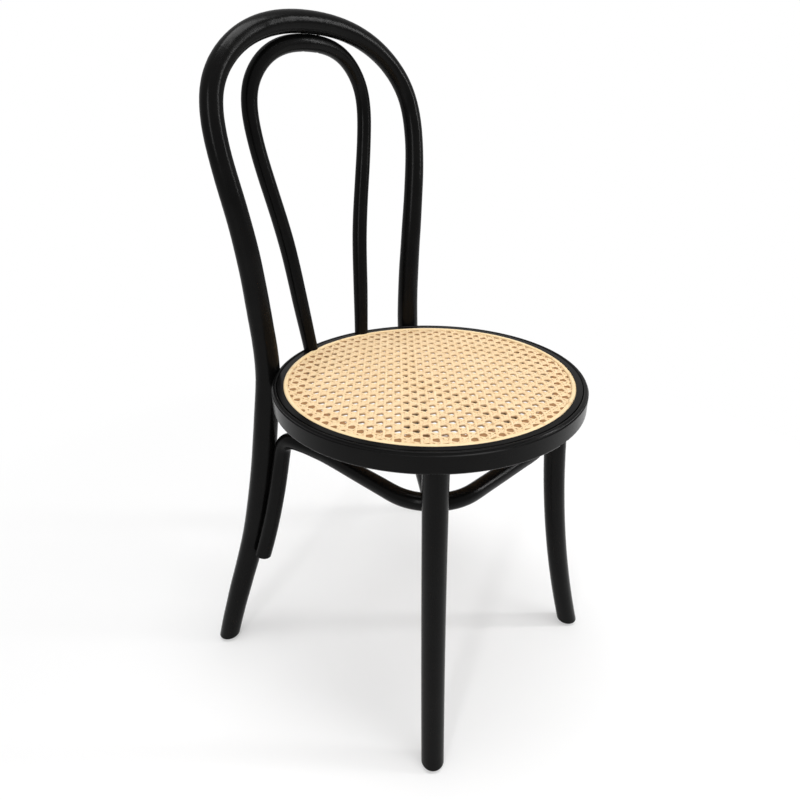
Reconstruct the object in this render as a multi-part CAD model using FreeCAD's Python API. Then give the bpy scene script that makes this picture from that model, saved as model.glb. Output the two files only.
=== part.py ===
import FreeCAD, Part
import math
import os

# Bentwood bistro chair with a round caned seat, a bent back hoop that runs down into the
# rear legs, an inner back loop, two bent front legs and one bow stretcher under the seat.
# Millimetres, +Z up. The sitter faces -Y. The model is drawn about the seat's upright axis.
# It is saved with the origin on the floor under the middle of the chair's outline.

os.makedirs("parts", exist_ok=True)

V = FreeCAD.Vector

# The seat's upright axis in the saved frame
SEAT_AXIS_Y = -10.33

# Clearances
GLUE_GAP = 0.2
SCREW_GAP = 0.15
FACE_GAP = 0.05

# Seat ring
SEAT_TOP = 446.0
RING_OUTER_R = 205.0
RING_INNER_R = 163.0
RING_THICK = 26.0
RING_BOTTOM = SEAT_TOP - RING_THICK
RING_MID = SEAT_TOP - RING_THICK / 2
RING_EDGE_R = 3.0
GROOVE_INNER_R = 184.0
GROOVE_OUTER_R = 190.0
GROOVE_DEPTH = 7.0
CANE_LAND_DROP = 2.6
QUIRK_R = 198.4
QUIRK_HALF_W = 0.7
QUIRK_DEPTH = 1.8
BEAD_END_R = 203.8
BEAD_RISE = 0.4
BEAD_STEP = 2.6
BEAD_FLAT_HALF = 1.2
BEAD_FOOT_DROP = 0.8
RING_SOFT_R = 1.5

# Cane seat and the reed that locks it into the groove
CANE_THICK = 2.2
REED_RISE = 0.7
REED_ROUND = 2.0

# Back hoop and rear legs, each place named from the floor up
HOOP_AT_RING_R = 220.0
FOOT_ROUND = 3.5

# Front legs, bent in the planes at 45 degrees
LEG_TOP_R = 177.0
LEG_FOOT_R = 237.0
LEG_RADIUS = 15.2
LEG_FOOT_RADIUS = 14.6
LEG_BOW = 13.0
TENON_RADIUS = 9.0
TENON_LENGTH = 16.5

# Bow stretcher
BOW_HEIGHT = 350.0
BOW_HALF = 129.0
BOW_RADIUS = 10.8
BOW_END_RADIUS = 12.0
BOW_END_HEIGHT = 157.0
BOW_TOP_HEIGHT = 322.0
BOW_BEND_R = 28.0
BOW_STRAIGHT_END = 62.0
BOW_SIDE_START = 94.0
BOW_SIDE_MID = 20.0
BOW_CORNER_LEAD = 12.0
BOW_END_ROUND = 4.0
BOW_WRAP_LOW = 4.0
BOW_WRAP_HIGH = 22.0
BOW_BEND_INWARD = 0.45
BOW_SIDE_INWARD = 0.68

# Fasteners
BOLT_RADIUS = 3.0
BOLT_HEAD_R = 7.5
BOLT_HEAD_H = 3.4
BOLT_SEAT_R = 234.0
WASHER_RADIUS = 7.0
WASHER_THICK = 1.2
NUT_FLATS = 10.0
NUT_THICK = 5.0
BOLT_PAST_NUT = 1.5
BOLT_SEAT_DEPTH = 12.0
SCREW_RADIUS = 2.2
SCREW_HEAD_R = 4.2
SCREW_HEAD_H = 2.6
SCREW_POINT = 4.0
SCREW_TIP_R = 0.5
SCREW_SUNK = 1.8
DRIVE_RADIUS = 1.5
DRIVE_DEPTH = 1.4
MOUTH_DEPTH = 12.0
FOOT_SCREW_LENGTH = 44.0
TOP_SCREW_LENGTH = 29.0
TOP_SCREW_X = 12.0
LOCK_SCREW_LENGTH = 20.0
BOW_FRONT_SCREW_LENGTH = 34.0
BOW_REAR_SCREW_LENGTH = 46.0
BOW_REAR_LOW = 200.0
BOW_REAR_HIGH = 284.0

# Floor glides and the nails that hold them
GLIDE_HEIGHT = 3.0
GLIDE_RADIUS = 9.0
GLIDE_ROUND = 1.0
NAIL_RADIUS = 1.25
NAIL_HEAD_R = 3.0
NAIL_HEAD_LOW = 0.8
NAIL_HEAD_TOP = 1.8
NAIL_LENGTH = 17.0


# Cutting slabs
SLAB_SIZE = 900.0
BELOW_FLOOR = -60.0

# A rod is joined from short lofts, which keep closer to its shape than a single long one
SECTIONS_PER_LOFT = 16


class Station:
    """A named place on a bent rod: where its centreline passes and how thick it is there."""

    def __init__(self, x, y, z, radius):
        self.point = V(x, y, z)
        self.radius = radius

    def mirrored(self):
        """Give the same place on the rod's other half."""
        return Station(-self.point.x, self.point.y, self.point.z, self.radius)


def both_halves(left_half, middle):
    """List the stations of a symmetric rod from its left end over the middle to its right end."""
    right_half = [station.mirrored() for station in reversed(left_half)]
    return left_half + [middle] + right_half


class Rod:
    """A round rod bent along a smooth curve through its stations.

    A symmetric rod is lofted as its left half only, which ends on the chair's middle plane.
    """

    def __init__(self, stations, loft_count, symmetric):
        self.stations = stations
        self.curve = Part.BSplineCurve()
        self.curve.interpolate([station.point for station in stations])
        self.marks = [self.curve.parameter(station.point) for station in stations]
        self.start = self.marks[0]
        self.end = self.marks[-1]
        self.section_count = SECTIONS_PER_LOFT * loft_count + 1
        self.symmetric = symmetric

    def radius_at(self, mark):
        """Blend the radius between the two stations around a place on the curve."""
        for index in range(len(self.marks) - 1):
            start = self.marks[index]
            end = self.marks[index + 1]
            if mark <= end:
                share = max(0.0, (mark - start) / (end - start))
                eased = share * share * (3 - 2 * share)
                before = self.stations[index].radius
                after = self.stations[index + 1].radius
                return before + (after - before) * eased
        return self.stations[-1].radius

    def mark_at_height(self, height, start, end):
        """Find the place between two marks where the centreline reaches a height."""
        low = start
        high = end
        rising = self.curve.value(end).z > self.curve.value(start).z
        for _ in range(60):
            middle = (low + high) / 2
            below = self.curve.value(middle).z < height
            if below == rising:
                low = middle
            else:
                high = middle
        return (low + high) / 2

    def solid(self):
        """Loft round sections along the curve, without twist."""
        count = self.section_count * 2 - 1 if self.symmetric else self.section_count
        spots = self.curve.toShape().discretize(Number=count)[:self.section_count]
        side = V(0, 1, 0)
        wires = []
        for spot in spots:
            mark = self.curve.parameter(spot)
            ahead = self.curve.tangent(mark)[0]
            side = side - ahead * side.dot(ahead)
            side.normalize()
            across = ahead.cross(side)
            ring = Part.makeCircle(self.radius_at(mark))
            turn = FreeCAD.Rotation(side, across, ahead, "ZXY")
            ring.Placement = FreeCAD.Placement(spot, turn)
            wires.append(Part.Wire([ring]))
        lofts = []
        first = 0
        while first < len(wires) - 1:
            last = min(first + SECTIONS_PER_LOFT, len(wires) - 1)
            lofts.append(Part.makeLoft(wires[first:last + 1], True, False))
            first = last
        return lofts[0].fuse(lofts[1:])


def mix(start, end, share):
    """Give the value that lies a share of the way from start to end."""
    return start + (end - start) * share


def slab(low, high):
    """Make a slab wider than the chair between two heights, for cutting."""
    return Part.makeBox(SLAB_SIZE, SLAB_SIZE, high - low, V(-SLAB_SIZE / 2, -SLAB_SIZE / 2, low))


def cylinder(radius, length, base, direction):
    """Make a cylinder from its base point along a direction."""
    return Part.makeCylinder(radius, length, base, direction)


def save(name, solids):
    """Move one node's solids into the shared frame and write them to its STEP file."""
    moved = [solid.translated(V(0, SEAT_AXIS_Y, 0)) for solid in solids]
    shape = moved[0] if len(moved) == 1 else Part.makeCompound(moved)
    shape.exportStep("parts/" + name + ".step")
    volume = sum(solid.Volume for solid in solids)
    print(name, "solids", len(shape.Solids), "valid", shape.isValid(), "mm3", round(volume))


def mirror(shape):
    """Give the mirror image of a shape on the chair's other side."""
    return shape.mirror(V(0, 0, 0), V(1, 0, 0))


def completed(half):
    """Join a half with its mirror image into one solid."""
    return half.fuse(mirror(half))


def revolved(outline):
    """Turn a closed list of (radius, height) corners about the chair's upright axis."""
    corners = [V(radius, 0, height) for radius, height in outline]
    face = Part.Face(Part.makePolygon(corners + [corners[0]]))
    return face.revolve(V(0, 0, 0), V(0, 0, 1), 360)


def edges_at(shape, radius, height):
    """Find the round edges of a turned shape at one radius and height."""
    found = []
    for edge in shape.Edges:
        if not hasattr(edge.Curve, "Radius"):
            continue
        right_size = abs(edge.Curve.Radius - radius) < 0.01
        right_level = abs(edge.Curve.Center.z - height) < 0.01
        if right_size and right_level:
            found.append(edge)
    return found


def countersunk_screw(tip, direction, length):
    """Make a countersunk wood screw whose head's face is at tip and whose point is ahead."""
    neck = tip + direction * SCREW_HEAD_H
    cone = Part.makeCone(SCREW_HEAD_R, SCREW_RADIUS, SCREW_HEAD_H, tip, direction)
    shank = cylinder(SCREW_RADIUS, length - SCREW_HEAD_H - SCREW_POINT, neck, direction)
    point_base = tip + direction * (length - SCREW_POINT)
    point = Part.makeCone(SCREW_RADIUS, SCREW_TIP_R, SCREW_POINT, point_base, direction)
    drive = cylinder(DRIVE_RADIUS, DRIVE_DEPTH, tip, direction)
    return cone.fuse([shank, point]).removeSplitter().cut(drive)


def screw_hole(tip, direction, length):
    """Make the cutter for a countersunk screw, with an open mouth behind its head."""
    neck = tip + direction * SCREW_HEAD_H
    wide = SCREW_HEAD_R + SCREW_GAP
    narrow = SCREW_RADIUS + SCREW_GAP
    mouth = cylinder(wide, MOUTH_DEPTH, tip - direction * MOUTH_DEPTH, direction)
    cone = Part.makeCone(wide, narrow, SCREW_HEAD_H, tip, direction)
    shank = cylinder(narrow, length - SCREW_HEAD_H + GLUE_GAP, neck, direction)
    return mouth.fuse([cone, shank])


# Seat ring: land for the cane, groove for the reed, flat band, quirk, bead and tall outer face
BEAD_MID_R = (QUIRK_R + QUIRK_HALF_W + BEAD_END_R) / 2
ring_outline = [
    (RING_INNER_R, RING_BOTTOM),
    (RING_INNER_R, SEAT_TOP - CANE_LAND_DROP),
    (GROOVE_INNER_R, SEAT_TOP - CANE_LAND_DROP),
    (GROOVE_INNER_R, SEAT_TOP - GROOVE_DEPTH),
    (GROOVE_OUTER_R, SEAT_TOP - GROOVE_DEPTH),
    (GROOVE_OUTER_R, SEAT_TOP),
    (QUIRK_R - QUIRK_HALF_W, SEAT_TOP),
    (QUIRK_R, SEAT_TOP - QUIRK_DEPTH),
    (QUIRK_R + QUIRK_HALF_W, SEAT_TOP - BEAD_RISE),
    (BEAD_MID_R - BEAD_FLAT_HALF, SEAT_TOP + BEAD_RISE),
    (BEAD_MID_R + BEAD_FLAT_HALF, SEAT_TOP + BEAD_RISE),
    (BEAD_END_R, SEAT_TOP - BEAD_RISE * 2),
    (BEAD_END_R, SEAT_TOP - BEAD_STEP),
    (RING_OUTER_R, SEAT_TOP - BEAD_STEP - BEAD_FOOT_DROP),
    (RING_OUTER_R, RING_BOTTOM),
]
ring = revolved(ring_outline)
bottom_edges = edges_at(ring, RING_OUTER_R, RING_BOTTOM)
ring = ring.makeFillet(RING_EDGE_R, bottom_edges)
inner_edges = edges_at(ring, RING_INNER_R, RING_BOTTOM)
inner_edges = inner_edges + edges_at(ring, RING_INNER_R, SEAT_TOP - CANE_LAND_DROP)
ring = ring.makeFillet(RING_SOFT_R, inner_edges)
bead_edges = edges_at(ring, BEAD_MID_R - BEAD_FLAT_HALF, SEAT_TOP + BEAD_RISE)
bead_edges = bead_edges + edges_at(ring, BEAD_MID_R + BEAD_FLAT_HALF, SEAT_TOP + BEAD_RISE)
ring = ring.makeFillet(RING_SOFT_R, bead_edges)

# Cane disc on the land, and the reed in the groove
cane_low = SEAT_TOP - CANE_LAND_DROP
cane = Part.makeCylinder(GROOVE_INNER_R - FACE_GAP, CANE_THICK, V(0, 0, cane_low))
reed_outline = [
    (GROOVE_INNER_R + GLUE_GAP, SEAT_TOP - GROOVE_DEPTH),
    (GROOVE_INNER_R + GLUE_GAP, SEAT_TOP + REED_RISE),
    (GROOVE_OUTER_R - GLUE_GAP, SEAT_TOP + REED_RISE),
    (GROOVE_OUTER_R - GLUE_GAP, SEAT_TOP - GROOVE_DEPTH),
]
reed = revolved(reed_outline)
reed_edges = edges_at(reed, GROOVE_INNER_R + GLUE_GAP, SEAT_TOP + REED_RISE)
reed_edges = reed_edges + edges_at(reed, GROOVE_OUTER_R - GLUE_GAP, SEAT_TOP + REED_RISE)
reed = reed.makeFillet(REED_ROUND, reed_edges)

# Back hoop with the rear legs: the left half from below the floor to the shoulder
ring_share = HOOP_AT_RING_R / math.hypot(138.0, 171.5)
below_floor = Station(-244.5, 208.0, -8, 14.8)
ankle = Station(-229.0, 201.8, 47, 15.4)
shin = Station(-210.5, 196.6, 101, 16.2)
calf = Station(-186.5, 190.4, 169, 17.0)
knee = Station(-168.5, 184.6, 240, 17.5)
thigh = Station(-155.5, 179.4, 310, 17.4)
under_ring = Station(-144.5, 174.6, 385, 17.0)
at_ring = Station(-138.0 * ring_share, 171.5 * ring_share, SEAT_TOP - 6, 16.7)
low_back = Station(-139.6, 171.6, 516, 15.8)
mid_back = Station(-145.2, 171.4, 586, 15.0)
high_back = Station(-154.2, 174.2, 656, 14.2)
widest = Station(-162.6, 182.0, 726, 13.4)
shoulder = Station(-154.0, 191.0, 786, 12.9)
crown_side = Station(-114.0, 198.0, 831, 12.6)
crown = Station(0.0, 203.0, 860.4, 12.5)
hoop_half = [below_floor, ankle, shin, calf, knee, thigh, under_ring, at_ring]
hoop_half = hoop_half + [low_back, mid_back, high_back, widest, shoulder, crown_side]
hoop_rod = Rod(both_halves(hoop_half, crown), 7, True)
hoop = hoop_rod.solid()

# Inner loop: from the ring's top up and round under the hoop's crown
LOOP_FOOT_X = 50.0
LOOP_FOOT_Y = 189.0
LOOP_FOOT_RADIUS = 10.4
LOOP_CROWN_RADIUS = 9.8
LOOP_CROWN_DROP = 21.6
LOOP_CROWN_BACK = 6.2
loop_sunk = Station(-49.2, 188.4, SEAT_TOP - 8, LOOP_FOOT_RADIUS)
loop_foot = Station(-LOOP_FOOT_X, LOOP_FOOT_Y, SEAT_TOP, LOOP_FOOT_RADIUS)
loop_low = Station(-57.8, 195.5, 521, 11.0)
loop_mid = Station(-66.0, 202.5, 596, 10.9)
loop_high = Station(-80.5, 209.5, 671, 10.5)
loop_wide = Station(-92.3, 214.5, 736, 10.1)
loop_shoulder = Station(-88.5, 215.5, 791, 9.9)
loop_turn = Station(-58.0, 212.5, 826, 9.8)
crown_y = crown.point.y + LOOP_CROWN_BACK
crown_z = crown.point.z - LOOP_CROWN_DROP
loop_crown = Station(0.0, crown_y, crown_z, LOOP_CROWN_RADIUS)
loop_half = [loop_sunk, loop_foot, loop_low, loop_mid, loop_high, loop_wide, loop_shoulder, loop_turn]
loop_rod = Rod(both_halves(loop_half, loop_crown), 5, True)
loop = loop_rod.solid()

# Front legs: one arc in the plane at 45 degrees, with a turned tenon into the ring
leg_out = V(-math.sqrt(0.5), -math.sqrt(0.5), 0)


def leg_station(height, radius):
    """Place the front leg's centreline at a height, bowed outward towards the foot."""
    drop = (RING_BOTTOM - height) / RING_BOTTOM
    spread = LEG_TOP_R + (LEG_FOOT_R - LEG_TOP_R) * drop - LEG_BOW * 4 * drop * (1 - drop)
    spot = leg_out * spread
    return Station(spot.x, spot.y, height, radius)


leg_stations = []
for level in (-8.0, 70.0, 140.0, 210.0, 280.0, BOW_HEIGHT, RING_BOTTOM):
    radius = mix(LEG_FOOT_RADIUS, LEG_RADIUS, level / RING_BOTTOM)
    leg_stations.append(leg_station(level, radius))
leg_rod = Rod(leg_stations, 2, False)
leg = leg_rod.solid()
floor_cut = slab(BELOW_FLOOR, GLIDE_HEIGHT)
leg = leg.cut(floor_cut).cut(slab(RING_BOTTOM, SEAT_TOP))
leg_top = leg_out * LEG_TOP_R + V(0, 0, RING_BOTTOM)
tenon_root = leg_top - V(0, 0, TENON_RADIUS)
tenon = Part.makeCylinder(TENON_RADIUS, TENON_LENGTH + TENON_RADIUS, tenon_root)
tenon_bore = Part.makeCylinder(TENON_RADIUS + GLUE_GAP, TENON_LENGTH + GLUE_GAP, leg_top)
leg = leg.fuse(tenon)


# Bow stretcher: a level bow inside the legs whose ends turn down in front of the rear legs
def beside_rear_leg(height):
    """Find the bow's centreline beside the rear leg at a height, just touching it."""
    mark = hoop_rod.mark_at_height(height, hoop_rod.start, hoop_rod.marks[7])
    spot = hoop_rod.curve.value(mark)
    reach = hoop_rod.radius_at(mark) + BOW_END_RADIUS + GLUE_GAP
    share = (height - BOW_END_HEIGHT) / (BOW_TOP_HEIGHT - BOW_END_HEIGHT)
    turn = math.radians(mix(BOW_WRAP_LOW, BOW_WRAP_HIGH, share))
    toward = V(math.sin(turn), -math.cos(turn), 0)
    return spot + toward * (reach + GLUE_GAP * 2 * share)


bow_left = []
for share in (0, 0.25, 0.5, 0.75, 1):
    spot = beside_rear_leg(mix(BOW_END_HEIGHT, BOW_TOP_HEIGHT, share))
    bow_left.append(Station(spot.x, spot.y, spot.z, BOW_END_RADIUS))
bend_start = bow_left[-1].point
for degrees in (30, 60, 90):
    turn = math.radians(degrees)
    x = mix(bend_start.x, -BOW_HALF, BOW_BEND_INWARD * degrees / 90)
    y = bend_start.y - BOW_BEND_R * (1 - math.cos(turn))
    z = bend_start.z + BOW_BEND_R * math.sin(turn)
    bow_left.append(Station(x, y, z, mix(BOW_END_RADIUS, BOW_RADIUS, degrees / 360)))
side_x = mix(x, -BOW_HALF, BOW_SIDE_INWARD)
bow_left.append(Station(side_x, BOW_SIDE_START, BOW_HEIGHT, mix(BOW_END_RADIUS, BOW_RADIUS, 0.5)))
side_radius = mix(BOW_END_RADIUS, BOW_RADIUS, 0.75)
bow_left.append(Station(-BOW_HALF, BOW_STRAIGHT_END, BOW_HEIGHT, side_radius))
bow_left.append(Station(-BOW_HALF, BOW_SIDE_MID, BOW_HEIGHT, BOW_RADIUS))
leg_mark = leg_rod.mark_at_height(BOW_HEIGHT, leg_rod.start, leg_rod.end)
leg_at_bow = leg_rod.curve.value(leg_mark)
leg_bow_r = math.hypot(leg_at_bow.x, leg_at_bow.y)
corner_reach = leg_bow_r - leg_rod.radius_at(leg_mark) - BOW_RADIUS - GLUE_GAP
corner_r = (BOW_HALF * math.sqrt(2) - corner_reach) / (math.sqrt(2) - 1)
corner_mid = -BOW_HALF + corner_r
corner_lead = corner_mid + BOW_CORNER_LEAD
bow_left.append(Station(-BOW_HALF, corner_lead, BOW_HEIGHT, BOW_RADIUS))
for degrees in (12, 30, 45, 60, 78):
    turn = math.radians(degrees)
    x = corner_mid - corner_r * math.cos(turn)
    y = corner_mid - corner_r * math.sin(turn)
    bow_left.append(Station(x, y, BOW_HEIGHT, BOW_RADIUS))
bow_left.append(Station(corner_lead, -BOW_HALF, BOW_HEIGHT, BOW_RADIUS))
bow_front = Station(0, -BOW_HALF, BOW_HEIGHT, BOW_RADIUS)
bow_rod = Rod(both_halves(bow_left, bow_front), 10, True)
bow = bow_rod.solid()


def level_edges(shape, height):
    """Find the edges of a shape that lie flat at one height."""
    found = []
    for edge in shape.Edges:
        box = edge.BoundBox
        if abs(box.ZMin - height) < 0.01 and abs(box.ZMax - height) < 0.01:
            found.append(edge)
    return found


def upright_rounder(radius, rounding):
    """Make a cutter at the origin that rounds the lower edge of an upright round rod."""
    hull_radius = radius + SCREW_GAP
    plug = Part.makeCylinder(hull_radius, rounding * 2)
    plug = plug.makeFillet(rounding, level_edges(plug, 0))
    block = Part.makeCylinder(hull_radius * 2, rounding * 2, V(0, 0, -rounding))
    return block.cut(plug)


def tip_rounder(station, next_station, rounding):
    """Make the cutter that rounds the edge of a rod's free end."""
    inward = next_station.point - station.point
    inward.normalize()
    cutter = upright_rounder(station.radius, rounding)
    cutter.Placement = FreeCAD.Placement(station.point, FreeCAD.Rotation(V(0, 0, 1), inward))
    return cutter


def foot_rounder(rod, start, end):
    """Make the cutter that rounds the edge of a leaning leg's level foot."""
    mark = rod.mark_at_height(GLIDE_HEIGHT, start, end)
    spot = rod.curve.value(mark)
    ahead = rod.curve.tangent(mark)[0]
    level_part = V(ahead.x, ahead.y, 0)
    stretch = 1 / abs(ahead.z) - 1
    side = V(level_part.x, level_part.y, 0)
    side.normalize()
    lean_x = level_part.x / ahead.z
    lean_y = level_part.y / ahead.z
    move = FreeCAD.Matrix()
    move.A11 = 1 + stretch * side.x * side.x
    move.A12 = stretch * side.x * side.y
    move.A13 = lean_x
    move.A21 = stretch * side.x * side.y
    move.A22 = 1 + stretch * side.y * side.y
    move.A23 = lean_y
    cutter = upright_rounder(rod.radius_at(mark), FOOT_ROUND).transformGeometry(move)
    cutter.translate(spot)
    return cutter


def centre_at_floor(rod, start, end):
    """Find where a leg's centreline meets the top of its glide."""
    spot = rod.curve.value(rod.mark_at_height(GLIDE_HEIGHT, start, end))
    return V(spot.x, spot.y, 0)


# Ends: flat feet with rounded edges, and rounded bow ends
bow_rounder = tip_rounder(bow_left[0], bow_left[1], BOW_END_ROUND)
bow = bow.cut(bow_rounder)
rear_rounder = foot_rounder(hoop_rod, hoop_rod.start, hoop_rod.marks[7])
hoop = hoop.cut([floor_cut, rear_rounder])
leg = leg.cut(foot_rounder(leg_rod, leg_rod.start, leg_rod.end))

# The hoop is notched where it meets the ring, and the loop stands on the ring's bead
notch_low = RING_BOTTOM - GLUE_GAP
notch_height = RING_THICK + BEAD_RISE + GLUE_GAP * 2
notch = Part.makeCylinder(RING_OUTER_R + GLUE_GAP, notch_height, V(0, 0, notch_low))
hoop = hoop.cut(notch)
loop_low_z = SEAT_TOP + BEAD_RISE + FACE_GAP
over_reed = Part.makeCylinder(GROOVE_OUTER_R, REED_RISE + FACE_GAP * 2, V(0, 0, SEAT_TOP))
loop = loop.cut(slab(RING_BOTTOM, loop_low_z)).cut(over_reed)

# Bolts through the rear legs and the ring, with washers and nuts on the ring's inside
hoop_mark = hoop_rod.mark_at_height(RING_MID, hoop_rod.start, hoop_rod.marks[8])
hoop_at_mid = hoop_rod.curve.value(hoop_mark)
bolt_out = V(hoop_at_mid.x, hoop_at_mid.y, 0)
bolt_out.normalize()
mid = V(0, 0, RING_MID)
washer_r = math.sqrt(RING_INNER_R ** 2 - WASHER_RADIUS ** 2) - FACE_GAP
nut_r = washer_r - WASHER_THICK - FACE_GAP
bolt_end_r = nut_r - NUT_THICK - BOLT_PAST_NUT
head_seat = bolt_out * BOLT_SEAT_R + mid
shank = cylinder(BOLT_RADIUS, BOLT_SEAT_R - bolt_end_r, bolt_out * bolt_end_r + mid, bolt_out)
dome_r = (BOLT_HEAD_R ** 2 + BOLT_HEAD_H ** 2) / (2 * BOLT_HEAD_H)
dome_centre = head_seat - bolt_out * (dome_r - BOLT_HEAD_H)
dome = Part.makeSphere(dome_r, dome_centre)
dome = dome.common(cylinder(BOLT_HEAD_R * 2, BOLT_HEAD_H * 2, head_seat, bolt_out))
bolt = shank.fuse(dome)
bolt_hole = cylinder(BOLT_RADIUS + SCREW_GAP, BOLT_SEAT_R, bolt_out * bolt_end_r / 2 + mid, bolt_out)
bolt_seat = cylinder(BOLT_HEAD_R + GLUE_GAP, BOLT_SEAT_DEPTH, head_seat, bolt_out)
washer_base = bolt_out * (washer_r - WASHER_THICK) + mid
washer = cylinder(WASHER_RADIUS, WASHER_THICK, washer_base, bolt_out).cut(bolt_hole)
nut_base = bolt_out * (nut_r - NUT_THICK) + mid
nut_turn = FreeCAD.Rotation(V(0, 0, 1), bolt_out)
nut_corners = []
for corner in range(6):
    turn = math.radians(60 * corner)
    reach = NUT_FLATS / math.sqrt(3)
    flat_spot = V(reach * math.cos(turn), reach * math.sin(turn), 0)
    nut_corners.append(nut_base + nut_turn.multVec(flat_spot))
nut_face = Part.Face(Part.makePolygon(nut_corners + [nut_corners[0]]))
nut = nut_face.extrude(bolt_out * NUT_THICK).cut(bolt_hole)

# Screws up through the ring into the feet of the loop
foot_screw_tip = V(-LOOP_FOOT_X, LOOP_FOOT_Y, RING_BOTTOM + SCREW_SUNK)
up = V(0, 0, 1)
foot_screw = countersunk_screw(foot_screw_tip, up, FOOT_SCREW_LENGTH)
foot_screw_cut = screw_hole(foot_screw_tip, up, FOOT_SCREW_LENGTH)

# Screws up through the crown of the loop into the crown of the hoop
crown_up = crown.point - loop_crown.point
crown_up.normalize()
loop_mark = loop_rod.curve.parameter(loop_crown.point - V(TOP_SCREW_X, 0, 0))
loop_spot = loop_rod.curve.value(loop_mark)
top_screw_tip = loop_spot - crown_up * (loop_crown.radius - SCREW_SUNK)
top_screw = countersunk_screw(top_screw_tip, crown_up, TOP_SCREW_LENGTH)
top_screw_cut = screw_hole(top_screw_tip, crown_up, TOP_SCREW_LENGTH)

# Screws from the ring's inside that lock the tenons of the front legs
lock_tip = leg_out * (RING_INNER_R + SCREW_SUNK) + V(0, 0, RING_BOTTOM + TENON_LENGTH / 2)
lock_screw = countersunk_screw(lock_tip, leg_out, LOCK_SCREW_LENGTH)
lock_cut = screw_hole(lock_tip, leg_out, LOCK_SCREW_LENGTH)

# Screws through the bow into the front legs
bow_front_tip = leg_out * (corner_reach - BOW_RADIUS + SCREW_SUNK) + V(0, 0, BOW_HEIGHT)
bow_front_screw = countersunk_screw(bow_front_tip, leg_out, BOW_FRONT_SCREW_LENGTH)
bow_front_cut = screw_hole(bow_front_tip, leg_out, BOW_FRONT_SCREW_LENGTH)

# Screws from behind through the rear legs into the ends of the bow
bow_rear_screws = []
bow_rear_cuts = []
for level in (BOW_REAR_LOW, BOW_REAR_HIGH):
    mark = hoop_rod.mark_at_height(level, hoop_rod.start, hoop_rod.marks[7])
    leg_spot = hoop_rod.curve.value(mark)
    ahead = beside_rear_leg(level) - leg_spot
    ahead.normalize()
    tip = leg_spot - ahead * (hoop_rod.radius_at(mark) - SCREW_SUNK)
    bow_rear_screws.append(countersunk_screw(tip, ahead, BOW_REAR_SCREW_LENGTH))
    bow_rear_cuts.append(screw_hole(tip, ahead, BOW_REAR_SCREW_LENGTH))

# Glides nailed under the four feet
rear_foot = centre_at_floor(hoop_rod, hoop_rod.start, hoop_rod.marks[7])
front_foot = centre_at_floor(leg_rod, leg_rod.start, leg_rod.end)
glides = []
nails = []
nail_cuts = []
for foot in (rear_foot, front_foot):
    glide = Part.makeCylinder(GLIDE_RADIUS, GLIDE_HEIGHT - FACE_GAP, foot)
    glide = glide.makeFillet(GLIDE_ROUND, level_edges(glide, 0))
    recess = Part.makeCylinder(NAIL_HEAD_R + SCREW_GAP, NAIL_HEAD_TOP + FACE_GAP, foot)
    through = Part.makeCylinder(NAIL_RADIUS + SCREW_GAP, GLIDE_HEIGHT + NAIL_LENGTH, foot)
    glides.append(glide.cut(recess).cut(through))
    head_height = NAIL_HEAD_TOP - NAIL_HEAD_LOW
    head = Part.makeCylinder(NAIL_HEAD_R, head_height, foot + V(0, 0, NAIL_HEAD_LOW))
    stem = Part.makeCylinder(NAIL_RADIUS, NAIL_LENGTH, foot + V(0, 0, NAIL_HEAD_LOW))
    nails.append(head.fuse(stem))
    nail_cuts.append(through)
glides = glides + [mirror(glide) for glide in glides]
nails = nails + [mirror(nail) for nail in nails]

# Holes for all the fasteners
both_sides = []
for cutter in (bolt_hole, tenon_bore, foot_screw_cut, lock_cut):
    both_sides = both_sides + [cutter, mirror(cutter)]
ring = ring.cut(both_sides)
hoop = hoop.cut([bolt_hole, bolt_seat, top_screw_cut, nail_cuts[0]] + bow_rear_cuts)
loop = loop.cut([foot_screw_cut, top_screw_cut])
leg = leg.cut([lock_cut, bow_front_cut, nail_cuts[1]])
bow = bow.cut([bow_front_cut] + bow_rear_cuts)


def pair(solid):
    """Give a solid and its mirror image."""
    return [solid, mirror(solid)]


save("seat_ring", ring.Solids)
save("cane_panel", [cane])
save("cane_spline", reed.Solids)
save("outer_hoop", completed(hoop).Solids)
save("inner_loop", completed(loop).Solids)
save("front_leg_left", mirror(leg).Solids)
save("front_leg_right", leg.Solids)
save("bow_stretcher", completed(bow).Solids)
save("hoop_bolts", pair(bolt))
save("hoop_bolt_washers", pair(washer))
save("hoop_bolt_nuts", pair(nut))
save("loop_foot_screws", pair(foot_screw))
save("loop_crown_screws", pair(top_screw))
save("leg_lock_screws", pair(lock_screw))
save("bow_front_screws", pair(bow_front_screw))
save("bow_rear_screws", [screw for rear_screw in bow_rear_screws for screw in pair(rear_screw)])
save("foot_glides", glides)
save("glide_nails", nails)
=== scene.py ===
"""Looks of the bentwood bistro chair: black lacquered bent beech, a woven cane seat and steel fixings.

The chair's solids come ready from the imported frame. This script weaves the cane seat, dresses every
piece in a procedural finish, and sets up the pale studio and the camera.
"""

import logging
import math
import random
from dataclasses import dataclass, field
from enum import Enum

import bpy
from mathutils import Matrix, Vector


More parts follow.
